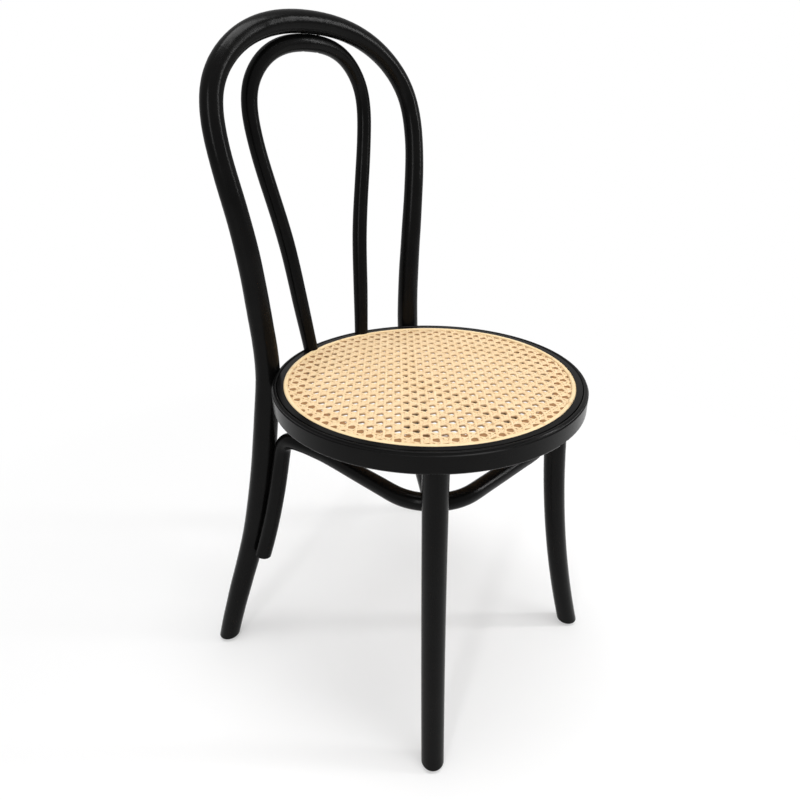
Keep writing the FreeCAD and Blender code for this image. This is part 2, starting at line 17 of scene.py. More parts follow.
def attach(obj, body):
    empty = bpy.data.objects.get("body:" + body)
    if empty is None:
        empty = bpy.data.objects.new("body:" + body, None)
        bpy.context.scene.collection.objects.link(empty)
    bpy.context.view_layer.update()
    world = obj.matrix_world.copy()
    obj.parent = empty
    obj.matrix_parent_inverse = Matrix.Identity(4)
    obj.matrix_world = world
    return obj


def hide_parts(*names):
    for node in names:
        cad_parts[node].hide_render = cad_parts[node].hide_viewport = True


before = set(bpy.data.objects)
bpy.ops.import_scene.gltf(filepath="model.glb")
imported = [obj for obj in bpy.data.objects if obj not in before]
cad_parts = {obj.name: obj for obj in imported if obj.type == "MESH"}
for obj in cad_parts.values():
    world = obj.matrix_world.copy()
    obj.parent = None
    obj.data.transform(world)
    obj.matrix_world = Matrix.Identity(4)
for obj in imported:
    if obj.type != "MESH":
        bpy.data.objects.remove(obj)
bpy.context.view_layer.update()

log = logging.getLogger("bistro_chair")

Colour = tuple[float, float, float]
Points = list[tuple[float, float, float]]

SEAT_AXIS_Y = -0.01033
"""Where the seat's upright axis stands, in metres."""

STRAND_SECTION = (
    (-0.5, -0.5),
    (-0.46, 0.1),
    (-0.24, 0.42),
    (0.0, 0.5),
    (0.24, 0.42),
    (0.46, 0.1),
    (0.5, -0.5),
)
"""A cane strand's section, as shares of its width and of its dome. Below zero is the underside."""


class Layer(Enum):
    """The layers of strands in the six-way cane weave."""

    WARP = "warp"
    WEFT = "weft"
    RISING = "rising"
    FALLING = "falling"


class GrainCourse(Enum):
    """Which way the wood grain runs on a piece."""

    UPRIGHT = "upright"
    ACROSS = "across"
    ROUND_SEAT = "round_seat"


# Shader helpers


def add_socket(group: bpy.types.NodeTree, name: str, kind: str, way: str, value: object = None) -> None:
    """Add a named socket to a shader node group.

    Args:
        group: The node group.
        name: The socket's name.
        kind: The socket's type, such as NodeSocketFloat.
        way: INPUT or OUTPUT.
        value: The input's default, if it has one.
    """
    made = group.interface.new_socket(name=name, in_out=way, socket_type=kind)
    if value is not None:
        made.default_value = value


def math_node(
    tree: bpy.types.NodeTree, operation: str, first: object, second: object = 0.0, clamp: bool = False
) -> bpy.types.NodeSocket:
    """Add a math node and give its output.

    Args:
        tree: The node tree to build in.
        operation: The math operation.
        first: A socket or a number for the first input.
        second: A socket or a number for the second input.
        clamp: Whether the result is kept between 0 and 1.

    Returns:
        The node's output socket.
    """
    node = tree.nodes.new("ShaderNodeMath")
    node.operation = operation
    node.use_clamp = clamp
    for index, value in enumerate((first, second)):
        if isinstance(value, bpy.types.NodeSocket):
            tree.links.new(value, node.inputs[index])
        else:
            node.inputs[index].default_value = value
    return node.outputs[0]


def noise_node(
    tree: bpy.types.NodeTree,
    vector: bpy.types.NodeSocket,
    scale: object,
    detail: float,
    roughness: float = 0.5,
) -> bpy.types.NodeSocket:
    """Add a noise texture and give its value.

    Args:
        tree: The node tree to build in.
        vector: Where the noise is read.
        scale: A socket or a number for the noise's scale.
        detail: How many octaves the noise has.
        roughness: How strong the finer octaves are.

    Returns:
        The noise value's socket.
    """
    node = tree.nodes.new("ShaderNodeTexNoise")
    tree.links.new(vector, node.inputs["Vector"])
    if isinstance(scale, bpy.types.NodeSocket):
        tree.links.new(scale, node.inputs["Scale"])
    else:
        node.inputs["Scale"].default_value = scale
    node.inputs["Detail"].default_value = detail
    node.inputs["Roughness"].default_value = roughness
    return node.outputs["Fac"]


def stretch_node(
    tree: bpy.types.NodeTree, vector: bpy.types.NodeSocket, scale: object
) -> bpy.types.NodeSocket:
    """Stretch a coordinate by a scale for each axis.

    Args:
        tree: The node tree to build in.
        vector: The coordinate.
        scale: A vector socket or three numbers.

    Returns:
        The stretched coordinate's socket.
    """
    node = tree.nodes.new("ShaderNodeVectorMath")
    node.operation = "MULTIPLY"
    tree.links.new(vector, node.inputs[0])
    if isinstance(scale, bpy.types.NodeSocket):
        tree.links.new(scale, node.inputs[1])
    else:
        node.inputs[1].default_value = scale
    return node.outputs[0]


def map_node(
    tree: bpy.types.NodeTree,
    value: bpy.types.NodeSocket,
    source: tuple[float, float],
    target: tuple[object, object],
) -> bpy.types.NodeSocket:
    """Map a value from one range onto another, clamped.

    Args:
        tree: The node tree to build in.
        value: The value's socket.
        source: The range that comes in.
        target: The range that goes out, as numbers or sockets.

    Returns:
        The mapped value's socket.
    """
    node = tree.nodes.new("ShaderNodeMapRange")
    tree.links.new(value, node.inputs["Value"])
    node.inputs["From Min"].default_value = source[0]
    node.inputs["From Max"].default_value = source[1]
    for name, end in zip(("To Min", "To Max"), target):
        if isinstance(end, bpy.types.NodeSocket):
            tree.links.new(end, node.inputs[name])
        else:
            node.inputs[name].default_value = end
    return node.outputs["Result"]


def mix_colour(
    tree: bpy.types.NodeTree, share: object, first: object, second: object
) -> bpy.types.NodeSocket:
    """Mix two colours.

    Args:
        tree: The node tree to build in.
        share: A socket or a number, 0 for the first colour and 1 for the second.
        first: A colour socket or three numbers.
        second: A colour socket or three numbers.

    Returns:
        The mixed colour's socket.
    """
    node = tree.nodes.new("ShaderNodeMix")
    node.data_type = "RGBA"
    if isinstance(share, bpy.types.NodeSocket):
        tree.links.new(share, node.inputs[0])
    else:
        node.inputs[0].default_value = share
    for index, value in ((6, first), (7, second)):
        if isinstance(value, bpy.types.NodeSocket):
            tree.links.new(value, node.inputs[index])
        else:
            node.inputs[index].default_value = (*value, 1.0)
    return node.outputs[2]


def polar_nodes(
    tree: bpy.types.NodeTree, place: bpy.types.NodeSocket
) -> tuple[bpy.types.NodeSocket, bpy.types.NodeSocket, bpy.types.NodeSocket]:
    """Turn a coordinate into angle, radius and height about the seat's axis.

    Args:
        tree: The node tree to build in.
        place: The object coordinate.

    Returns:
        The sockets of the angle, the radius and the height.
    """
    split = tree.nodes.new("ShaderNodeSeparateXYZ")
    tree.links.new(place, split.inputs[0])
    back = math_node(tree, "SUBTRACT", split.outputs["Y"], SEAT_AXIS_Y)
    angle = math_node(tree, "ARCTAN2", back, split.outputs["X"])
    squares = math_node(tree, "MULTIPLY", split.outputs["X"], split.outputs["X"])
    squares = math_node(tree, "ADD", squares, math_node(tree, "MULTIPLY", back, back))
    radius = math_node(tree, "SQRT", squares)
    return angle, radius, split.outputs["Z"]


class EffectGroups:
    """Builds each shared shader effect once and places it in materials."""

    def __init__(self) -> None:
        """Build the three shared effects."""
        self.grain = self._grain()
        self.mottle = self._mottle()
        self.fibre = self._fibre()

    @staticmethod
    def _new_group(name: str) -> tuple[bpy.types.NodeTree, bpy.types.Node, bpy.types.Node]:
        """Make an empty shader node group.

        Args:
            name: The group's name.

        Returns:
            The group, its input node and its output node.
        """
        group = bpy.data.node_groups.new(name, "ShaderNodeTree")
        return group, group.nodes.new("NodeGroupInput"), group.nodes.new("NodeGroupOutput")

    def _grain(self) -> bpy.types.NodeTree:
        """Build long wood pores along one axis of a coordinate.

        Returns:
            A group with inputs Vector, Stretch and Density and outputs Pores and Height.
        """
        group, start, end = self._new_group("wood_grain")
        add_socket(group, "Vector", "NodeSocketVector", "INPUT")
        add_socket(group, "Stretch", "NodeSocketVector", "INPUT", (900.0, 900.0, 45.0))
        add_socket(group, "Density", "NodeSocketFloat", "INPUT", 0.5)
        add_socket(group, "Pores", "NodeSocketFloat", "OUTPUT")
        add_socket(group, "Height", "NodeSocketFloat", "OUTPUT")
        coordinate = stretch_node(group, start.outputs["Vector"], start.outputs["Stretch"])
        pores = noise_node(group, coordinate, 1.0, 2.0, 0.6)
        slow = stretch_node(group, coordinate, (0.12, 0.12, 0.2))
        bands = noise_node(group, slow, 1.0, 1.0)
        mask = map_node(group, pores, (0.52, 0.72), (0.0, 1.0))
        sparse = math_node(group, "MULTIPLY", mask, start.outputs["Density"], True)
        banded = math_node(group, "MULTIPLY", sparse, map_node(group, bands, (0.3, 0.7), (0.35, 1.0)))
        height = math_node(group, "SUBTRACT", 1.0, banded)
        group.links.new(banded, end.inputs["Pores"])
        group.links.new(height, end.inputs["Height"])
        return group

    def _mottle(self) -> bpy.types.NodeTree:
        """Build the faint cloudiness and orange peel of a sprayed or moulded surface.

        Returns:
            A group with inputs Vector, Cloud Scale and Peel Scale and outputs Cloud and Height.
        """
        group, start, end = self._new_group("surface_mottle")
        add_socket(group, "Vector", "NodeSocketVector", "INPUT")
        add_socket(group, "Cloud Scale", "NodeSocketFloat", "INPUT", 30.0)
        add_socket(group, "Peel Scale", "NodeSocketFloat", "INPUT", 350.0)
        add_socket(group, "Cloud", "NodeSocketFloat", "OUTPUT")
        add_socket(group, "Height", "NodeSocketFloat", "OUTPUT")
        cloud = noise_node(group, start.outputs["Vector"], start.outputs["Cloud Scale"], 3.0)
        peel = noise_node(group, start.outputs["Vector"], start.outputs["Peel Scale"], 1.0)
        group.links.new(map_node(group, cloud, (0.3, 0.7), (0.0, 1.0)), end.inputs["Cloud"])
        group.links.new(peel, end.inputs["Height"])
        return group

    def _fibre(self) -> bpy.types.NodeTree:
        """Build the lengthwise fibres, colour drift and growth rings of split rattan.

        Returns:
            A group with inputs Along (x across and y along, in metres) and Seed, and outputs
            Streak, Drift, Ring and Height.
        """
        group, start, end = self._new_group("rattan_fibre")
        add_socket(group, "Along", "NodeSocketVector", "INPUT")
        add_socket(group, "Seed", "NodeSocketFloat", "INPUT", 0.5)
        for name in ("Streak", "Drift", "Ring", "Height"):
            add_socket(group, name, "NodeSocketFloat", "OUTPUT")
        shift = group.nodes.new("ShaderNodeCombineXYZ")
        group.links.new(math_node(group, "MULTIPLY", start.outputs["Seed"], 37.0), shift.inputs["Z"])
        group.links.new(math_node(group, "MULTIPLY", start.outputs["Seed"], 3.1), shift.inputs["Y"])
        moved = group.nodes.new("ShaderNodeVectorMath")
        moved.operation = "ADD"
        group.links.new(start.outputs["Along"], moved.inputs[0])
        group.links.new(shift.outputs[0], moved.inputs[1])
        # Fine fibres streak the strand, slow drift changes its colour, and rare marks are growth rings.
        fine = noise_node(group, stretch_node(group, moved.outputs[0], (5200.0, 60.0, 1.0)), 1.0, 2.0, 0.6)
        slow = noise_node(group, stretch_node(group, moved.outputs[0], (200.0, 22.0, 1.0)), 1.0, 2.0)
        rare = noise_node(group, stretch_node(group, moved.outputs[0], (20.0, 95.0, 1.0)), 1.0, 0.0)
        group.links.new(map_node(group, fine, (0.3, 0.7), (0.0, 1.0)), end.inputs["Streak"])
        group.links.new(map_node(group, slow, (0.3, 0.7), (0.0, 1.0)), end.inputs["Drift"])
        group.links.new(map_node(group, rare, (0.7, 0.78), (0.0, 1.0)), end.inputs["Ring"])
        group.links.new(fine, end.inputs["Height"])
        return group


def place_group(
    tree: bpy.types.NodeTree, group: bpy.types.NodeTree, values: dict[str, object]
) -> bpy.types.Node:
    """Place a shared effect in a material with its own values.

    Args:
        tree: The material's node tree.
        group: The shared effect.
        values: Numbers or sockets for the group's inputs, by name.

    Returns:
        The group node.
    """
    node = tree.nodes.new("ShaderNodeGroup")
    node.node_tree = group
    for name, value in values.items():
        if isinstance(value, bpy.types.NodeSocket):
            tree.links.new(value, node.inputs[name])
        else:
            node.inputs[name].default_value = value
    return node


def new_surface(name: str) -> tuple[bpy.types.Material, bpy.types.NodeTree, bpy.types.Node]:
    """Make a material with an empty principled surface.

    Args:
        name: The material's name.

    Returns:
        The material, its node tree and its principled node.
    """
    material = bpy.data.materials.new(name)
    material.use_nodes = True
    tree = material.node_tree
    return material, tree, tree.nodes["Principled BSDF"]


def add_bump(
    tree: bpy.types.NodeTree,
    surface: bpy.types.Node,
    height: bpy.types.NodeSocket,
    strength: float,
    depth: float,
) -> None:
    """Give a surface a bump, on top of any bump it already has.

    Args:
        tree: The material's node tree.
        surface: The principled node.
        height: The height's socket, from 0 to 1.
        strength: The bump's strength.
        depth: The real depth of the bump, in metres.
    """
    bump = tree.nodes.new("ShaderNodeBump")
    bump.inputs["Strength"].default_value = strength
    bump.inputs["Distance"].default_value = depth
    tree.links.new(height, bump.inputs["Height"])
    for link in list(surface.inputs["Normal"].links):
        tree.links.new(link.from_socket, bump.inputs["Normal"])
    tree.links.new(bump.outputs["Normal"], surface.inputs["Normal"])


@dataclass(frozen=True)
class BlackLacquer:
    """Satin black lacquer over bent beech, with the wood's pores just showing."""

    colour: Colour = (0.0026, 0.0025, 0.0025)
    pore_colour: Colour = (0.0012, 0.0012, 0.0012)
    cloud_colour: Colour = (0.004, 0.0039, 0.0038)
    roughness: tuple[float, float] = (0.2, 0.26)
    specular: float = 0.085
    pore_density: float = 0.6
    pore_bump: tuple[float, float] = (0.25, 0.00006)
    cloud_scale: float = 26.0
    peel_scale: float = 420.0
    peel_bump: tuple[float, float] = (0.12, 0.00008)
    across_grain: float = 950.0
    along_upright: float = 40.0
    along_bow: float = 60.0
    along_ring: float = 45.0
    ring_radius: float = 0.19
    bare_colour: Colour = (0.34, 0.19, 0.09)
    bare_radius: float = 0.1842
    bare_height: float = 0.43

    def make(self, groups: EffectGroups, course: GrainCourse) -> bpy.types.Material:
        """Build the lacquer with its grain running one way.

        Args:
            groups: The shared effects.
            course: Which way the grain runs.

        Returns:
            The material.
        """
        material, tree, surface = new_surface("black_lacquer_" + course.value)
        place = tree.nodes.new("ShaderNodeTexCoord").outputs["Object"]
        along, stretch = self._grain_room(tree, place, course)
        pores = {"Vector": along, "Stretch": stretch, "Density": self.pore_density}
        grain = place_group(tree, groups.grain, pores)
        clouds = {"Vector": place, "Cloud Scale": self.cloud_scale, "Peel Scale": self.peel_scale}
        mottle = place_group(tree, groups.mottle, clouds)
        clouded = mix_colour(tree, mottle.outputs["Cloud"], self.colour, self.cloud_colour)
        colour = mix_colour(tree, grain.outputs["Pores"], clouded, self.pore_colour)
        if course is GrainCourse.ROUND_SEAT:
            colour = mix_colour(tree, self._bare_land(tree, along), colour, self.bare_colour)
        tree.links.new(colour, surface.inputs["Base Color"])
        rough = map_node(tree, mottle.outputs["Cloud"], (0.0, 1.0), self.roughness)
        tree.links.new(rough, surface.inputs["Roughness"])
        surface.inputs["Specular IOR Level"].default_value = self.specular
        add_bump(tree, surface, grain.outputs["Height"], *self.pore_bump)
        add_bump(tree, surface, mottle.outputs["Height"], *self.peel_bump)
        return material

    def _bare_land(self, tree: bpy.types.NodeTree, along: bpy.types.NodeSocket) -> bpy.types.NodeSocket:
        """Mask the land and inner wall under the cane, where the ring is left as bare wood.

        Args:
            tree: The material's node tree.
            along: The coordinate that has the radius as Y and the height as Z.

        Returns:
            The mask's socket.
        """
        split = tree.nodes.new("ShaderNodeSeparateXYZ")
        tree.links.new(along, split.inputs[0])
        inside = math_node(tree, "LESS_THAN", split.outputs["Y"], self.bare_radius)
        high = math_node(tree, "GREATER_THAN", split.outputs["Z"], self.bare_height)
        return math_node(tree, "MULTIPLY", inside, high)

    def _grain_room(
        self, tree: bpy.types.NodeTree, place: bpy.types.NodeSocket, course: GrainCourse
    ) -> tuple[bpy.types.NodeSocket, tuple[float, float, float]]:
        """Give the coordinate and stretch in which the grain is straight.

        Args:
            tree: The material's node tree.
            place: The object coordinate.
            course: Which way the grain runs.

        Returns:
            The coordinate's socket and the stretch for each axis.
        """
        if course is GrainCourse.UPRIGHT:
            return place, (self.across_grain, self.across_grain, self.along_upright)
        if course is GrainCourse.ACROSS:
            return place, (self.along_bow, self.across_grain, self.across_grain)
        angle, radius, height = polar_nodes(tree, place)
        join = tree.nodes.new("ShaderNodeCombineXYZ")
        tree.links.new(math_node(tree, "MULTIPLY", angle, self.ring_radius), join.inputs["X"])
        tree.links.new(radius, join.inputs["Y"])
        tree.links.new(height, join.inputs["Z"])
        return join.outputs[0], (self.along_ring, self.across_grain, self.across_grain)


@dataclass(frozen=True)
class NaturalRattan:
    """Pale varnished rattan, split into strands or left as a reed."""

    name: str
    light: Colour
    deep: Colour
    streak: Colour
    ring: Colour
    # Painted shade: the brown the strands darken to down their side walls and on their undersides, standing
    # in for the shade in the weave's holes.
    painted_shade_colour: Colour = (0.42, 0.215, 0.085)
    roughness: tuple[float, float] = (0.36, 0.52)
    specular: float = 0.4
    coat: float = 0.15
    coat_roughness: float = 0.25
    tone_share: float = 0.55
    streak_share: float = 0.3
    ring_share: float = 0.55
    fibre_bump: tuple[float, float] = (0.3, 0.00004)
    reed_seed: float = 0.37
    reed_radius: float = 0.187

    def make(self, groups: EffectGroups, on_strands: bool) -> bpy.types.Material:
        """Build the rattan.

        Args:
            groups: The shared effects.
            on_strands: True where the mesh carries each strand's own coordinates and tone.

        Returns:
            The material.
        """
        material, tree, surface = new_surface(self.name)
        if on_strands:
            uv = tree.nodes.new("ShaderNodeUVMap")
            uv.uv_map = "strand"
            along = uv.outputs["UV"]
            tone = tree.nodes.new("ShaderNodeAttribute")
            tone.attribute_name = "tone"
            seed: object = tone.outputs["Fac"]
        else:
            along = self._round_reed(tree)
            seed = self.reed_seed
        fibre = place_group(tree, groups.fibre, {"Along": along, "Seed": seed})
        base = mix_colour(tree, fibre.outputs["Drift"], self.light, self.deep)
        if on_strands:
            base = mix_colour(tree, math_node(tree, "MULTIPLY", seed, self.tone_share), base, self.deep)
            # Painted shade: each strand's colour darkens towards the painted shade colour down its side
            # walls, following the mesh's shade value.
            shade = tree.nodes.new("ShaderNodeAttribute")
            shade.attribute_name = "shade"
            base = mix_colour(tree, shade.outputs["Fac"], base, self.painted_shade_colour)
        streaks = math_node(tree, "MULTIPLY", fibre.outputs["Streak"], self.streak_share)
        streaked = mix_colour(tree, streaks, base, self.streak)
        rings = math_node(tree, "MULTIPLY", fibre.outputs["Ring"], self.ring_share)
        ringed = mix_colour(tree, rings, streaked, self.ring)
        tree.links.new(ringed, surface.inputs["Base Color"])
        rough = map_node(tree, fibre.outputs["Streak"], (0.0, 1.0), self.roughness)
        tree.links.new(rough, surface.inputs["Roughness"])
        surface.inputs["Coat Weight"].default_value = self.coat
        surface.inputs["Coat Roughness"].default_value = self.coat_roughness
        surface.inputs["Specular IOR Level"].default_value = self.specular
        add_bump(tree, surface, fibre.outputs["Height"], *self.fibre_bump)
        return material

    def _round_reed(self, tree: bpy.types.NodeTree) -> bpy.types.NodeSocket:
        """Give a coordinate that runs across and along the round reed.

        Args:
            tree: The material's node tree.

        Returns:
            The coordinate's socket, in metres.
        """
        place = tree.nodes.new("ShaderNodeTexCoord").outputs["Object"]
        angle, radius, _ = polar_nodes(tree, place)
        join = tree.nodes.new("ShaderNodeCombineXYZ")
        tree.links.new(radius, join.inputs["X"])
        tree.links.new(math_node(tree, "MULTIPLY", angle, self.reed_radius), join.inputs["Y"])
        return join.outputs[0]


@dataclass(frozen=True)
class BlackenedSteel:
    """Blackened steel for the bolts, screws, washers and nuts."""

    colour: Colour = (0.055, 0.055, 0.057)
    worn: Colour = (0.16, 0.155, 0.15)
    roughness: tuple[float, float] = (0.34, 0.5)
    cloud_scale: float = 400.0
    peel_scale: float = 2400.0
    peel_bump: tuple[float, float] = (0.2, 0.00003)

    def make(self, groups: EffectGroups) -> bpy.types.Material:
        """Build the steel.

        Args:
            groups: The shared effects.

        Returns:
            The material.
        """
        material, tree, surface = new_surface("blackened_steel")
        place = tree.nodes.new("ShaderNodeTexCoord").outputs["Object"]
        clouds = {"Vector": place, "Cloud Scale": self.cloud_scale, "Peel Scale": self.peel_scale}
        mottle = place_group(tree, groups.mottle, clouds)
        colour = mix_colour(tree, mottle.outputs["Cloud"], self.colour, self.worn)
        tree.links.new(colour, surface.inputs["Base Color"])
        surface.inputs["Metallic"].default_value = 1.0
        rough = map_node(tree, mottle.outputs["Cloud"], (0.0, 1.0), self.roughness)
        tree.links.new(rough, surface.inputs["Roughness"])
        add_bump(tree, surface, mottle.outputs["Height"], *self.peel_bump)
        return material


@dataclass(frozen=True)
class MouldedBlack:
    """Moulded black plastic for the floor glides."""

    colour: Colour = (0.016, 0.016, 0.016)
    scuffed: Colour = (0.035, 0.034, 0.033)
    roughness: tuple[float, float] = (0.5, 0.68)
    cloud_scale: float = 160.0
    peel_scale: float = 1500.0
    peel_bump: tuple[float, float] = (0.35, 0.00005)

    def make(self, groups: EffectGroups) -> bpy.types.Material:
        """Build the plastic.

        Args:
            groups: The shared effects.

        Returns:
            The material.
        """
        material, tree, surface = new_surface("moulded_black")
        place = tree.nodes.new("ShaderNodeTexCoord").outputs["Object"]
        clouds = {"Vector": place, "Cloud Scale": self.cloud_scale, "Peel Scale": self.peel_scale}
        mottle = place_group(tree, groups.mottle, clouds)
        colour = mix_colour(tree, mottle.outputs["Cloud"], self.colour, self.scuffed)
        tree.links.new(colour, surface.inputs["Base Color"])
        rough = map_node(tree, mottle.outputs["Cloud"], (0.0, 1.0), self.roughness)
        tree.links.new(rough, surface.inputs["Roughness"])
        add_bump(tree, surface, mottle.outputs["Height"], *self.peel_bump)
        return material


def dress_node(node: str, material: bpy.types.Material) -> None:
    """Give a frame node its finish.

    Args:
        node: The node's name.
        material: Its material.
    """
    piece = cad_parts[node]
    piece.data.materials.clear()
    piece.data.materials.append(material)
    log.info("dressed %s in %s", node, material.name)


@dataclass
class BentFrame:
    """The bent beech pieces: hoop, loop, ring, front legs and bow stretcher."""

    lacquer: BlackLacquer = field(default_factory=BlackLacquer)
    courses: dict[str, GrainCourse] = field(
        default_factory=lambda: {
            "outer_hoop": GrainCourse.UPRIGHT,
            "inner_loop": GrainCourse.UPRIGHT,
            "front_leg_left": GrainCourse.UPRIGHT,
            "front_leg_right": GrainCourse.UPRIGHT,
            "bow_stretcher": GrainCourse.ACROSS,
            "seat_ring": GrainCourse.ROUND_SEAT,
        }
    )

    def dress(self, groups: EffectGroups) -> None:
        """Lacquer every bent piece.

        Args:
            groups: The shared effects.
        """
        finishes = {course: self.lacquer.make(groups, course) for course in GrainCourse}
        for node, course in self.courses.items():
            dress_node(node, finishes[course])


@dataclass
class Fixings:
    """The steel fixings and the plastic glides with their nails."""

    steel: BlackenedSteel = field(default_factory=BlackenedSteel)
    plastic: MouldedBlack = field(default_factory=MouldedBlack)
    steel_nodes: tuple[str, ...] = (
        "hoop_bolts",
        "hoop_bolt_washers",
        "hoop_bolt_nuts",
        "loop_foot_screws",
        "loop_crown_screws",
        "leg_lock_screws",
        "bow_front_screws",
        "bow_rear_screws",
        "glide_nails",
    )
    plastic_nodes: tuple[str, ...] = ("foot_glides",)

    def dress(self, groups: EffectGroups) -> None:
        """Finish every fixing.

        Args:
            groups: The shared effects.
        """
        steel = self.steel.make(groups)
        plastic = self.plastic.make(groups)
        for node in self.steel_nodes:
            dress_node(node, steel)
        for node in self.plastic_nodes:
            dress_node(node, plastic)


@dataclass
class StrandMesh:
    """Collects the vertices of many flat strands for one mesh."""

    points: Points = field(default_factory=list)
    faces: list[tuple[int, ...]] = field(default_factory=list)
    uvs: list[tuple[float, float]] = field(default_factory=list)
    tones: list[float] = field(default_factory=list)
    # How deep each vertex lies in the painted shade: 1 at the underside, 0 on the domed top.
    shades: list[float] = field(default_factory=list)

    def add(
        self,
        path: list[Vector],
        across: Vector,
        size: tuple[float, float],
        depths: list[float],
        tone: float,
        offset: float,
    ) -> None:
        """Add one strand with a flat underside and a domed top.

        Args:
            path: The points along the middle of the strand.
            across: The level direction across the strand.
            size: The strand's width and the height of its dome.
            depths: How far the underside lies below each point.
            tone: The strand's own tone, from 0 to 1.
            offset: Where along the fibre pattern the strand starts, in metres.
        """
        width, dome = size
        first = len(self.points)
        count = len(STRAND_SECTION)
        travelled = offset
        for index, spot in enumerate(path):
            if index:
                travelled += (spot - path[index - 1]).length
            for side, lift in STRAND_SECTION:
                corner = spot + across * (side * width)
                rise = -depths[index] if lift < 0 else lift * dome
                self.points.append((corner.x, corner.y, corner.z + rise))
                self.uvs.append((side * width, travelled))
                self.tones.append(tone)
                # Painted shade: full at the underside corners, fading up the side walls to none on the dome.
                self.shades.append(1.0 if lift < 0 else 0.0)
            if index:
                low = first + (index - 1) * count
                for turn in range(count):
                    step = (turn + 1) % count
                    self.faces.append((low + turn, low + step, low + count + step, low + count + turn))
        self.faces.append(tuple(first + turn for turn in range(count)))
        last = len(self.points) - count
        self.faces.append(tuple(last + turn for turn in reversed(range(count))))


@dataclass
class WovenCane:
    """The six-way woven cane seat: pairs of strands both ways and single strands on both diagonals."""

    pitch: float = 0.01445
    radius: float = 0.1839
    mid_height: float = 0.44435
    strand_width: float = 0.0026
    diagonal_width: float = 0.0027
    strand_dome: float = 0.0009
    land_height: float = 0.44342
    open_depth: float = 0.0027
    open_radius: float = 0.1615
    rim_gap: float = 0.0025
    width_range: tuple[float, float] = (0.9, 1.06)
    pair_half: float = 0.0016
    pair_lift: float = 0.00036
    pair_fade: float = 3.0
    diagonal_lift: float = 0.00074
    steps_per_pitch: int = 10
    steps_per_diagonal: int = 6
    wander: float = 0.00022
    wander_rate: float = 46.0
    fibre_spread: float = 5.0
    seed: int = 11
    rattan: NaturalRattan = NaturalRattan(
        name="cane_strands",
        light=(0.9, 0.72, 0.475),
        deep=(0.8, 0.58, 0.33),
        streak=(0.66, 0.44, 0.22),
        ring=(0.5, 0.3, 0.13),
    )

    def _crossing_lift(self, place: float, over_first: bool) -> float:
        """Give a paired strand's height where it crosses the other pairs.

        Args:
            place: How far along the strand, measured from a crossing's middle.
            over_first: Whether it passes over the first strand of each pair and under the second.

        Returns:
            The lift from the mid height, in metres.
        """
        near = place - round(place / self.pitch) * self.pitch
        share = near / self.pair_half
        if abs(share) > self.pair_fade:
            return 0.0
        fade = 1.0 if abs(share) <= 1.0 else (self.pair_fade - abs(share)) / (self.pair_fade - 1.0)
        wave = math.sin(max(-1.0, min(1.0, share)) * math.pi / 2)
        lift = wave * fade * fade * (3 - 2 * fade) * self.pair_lift
        return -lift if over_first else lift

    def _line(self, layer: Layer, offset: float, rng: random.Random) -> tuple[list[Vector], Vector]:
        """Give the middle line of one strand from rim to rim.

        Args:
            layer: The strand's layer.
            offset: The strand's distance from the seat's middle, across its own direction.
            rng: The source of small irregularities.

        Returns:
            The points of the line and the direction across it.
        """
        angle = {
            Layer.WARP: math.pi / 2,
            Layer.WEFT: 0.0,
            Layer.RISING: math.pi / 4,
            Layer.FALLING: -math.pi / 4,
        }[layer]
        ahead = Vector((math.cos(angle), math.sin(angle), 0.0))
        across = Vector((-ahead.y, ahead.x, 0.0))
        half = math.sqrt(self.radius**2 - offset**2)
        diagonal = layer in (Layer.RISING, Layer.FALLING)
        beat = self.pitch / math.sqrt(2) if diagonal else self.pitch
        step = beat / (self.steps_per_diagonal if diagonal else self.steps_per_pitch)
        count = max(2, math.ceil(2 * half / step))
        phase = rng.uniform(0, math.tau)
        points = []
        for index in range(count + 1):
            place = -half + 2 * half * index / count
            sway = self.wander * math.sin(place * self.wander_rate + phase)
            spot = ahead * place + across * (offset + sway)
            points.append(self._lifted(layer, spot, place, offset))
        return points, across

    def _lifted(self, layer: Layer, spot: Vector, place: float, offset: float) -> Vector:
        """Set a point of a strand to its woven height.

        Args:
            layer: The strand's layer.
            spot: The point, level, from the seat's middle.
            place: How far along the strand the point is.
            offset: The strand's distance from the seat's middle.

        Returns:
            The point in the chair's frame.
        """
        if layer in (Layer.WARP, Layer.WEFT):
            second = offset - round(offset / self.pitch) * self.pitch > 0
            over = second if layer is Layer.WARP else not second
            lift = self._crossing_lift(place, over)
        else:
            turn = math.tau * spot.y / self.pitch
            lift = self.diagonal_lift * math.cos(turn)
            if layer is Layer.FALLING:
                lift = -lift
        return Vector((spot.x, spot.y + SEAT_AXIS_Y, self.mid_height + lift))

    def _depths(self, path: list[Vector]) -> list[float]:
        """Give a strand's depth at each point, down to the ring's land where it rests on it.

        Args:
            path: The points along the middle of the strand, in the chair's frame.

        Returns:
            The depth of the underside below each point.
        """
        depths = []
        for spot in path:
            over_land = math.hypot(spot.x, spot.y - SEAT_AXIS_Y) > self.open_radius
            depths.append(spot.z - self.land_height if over_land else self.open_depth)
        return depths

    def _offsets(self, layer: Layer) -> list[float]:
        """List where the strands of a layer lie across the seat.

        Args:
            layer: The layer.

        Returns:
            The distances from the seat's middle.
        """
        reach = self.radius - self.rim_gap
        offsets = []
        if layer in (Layer.WARP, Layer.WEFT):
            pairs = math.ceil(reach / self.pitch)
            for index in range(-pairs, pairs + 1):
                offsets += [index * self.pitch - self.pair_half, index * self.pitch + self.pair_half]
        else:
            gap = self.pitch / math.sqrt(2)
            singles = math.ceil(reach / gap)
            offsets = [(index + 0.5) * gap for index in range(-singles - 1, singles + 1)]
        return [offset for offset in offsets if abs(offset) < reach]

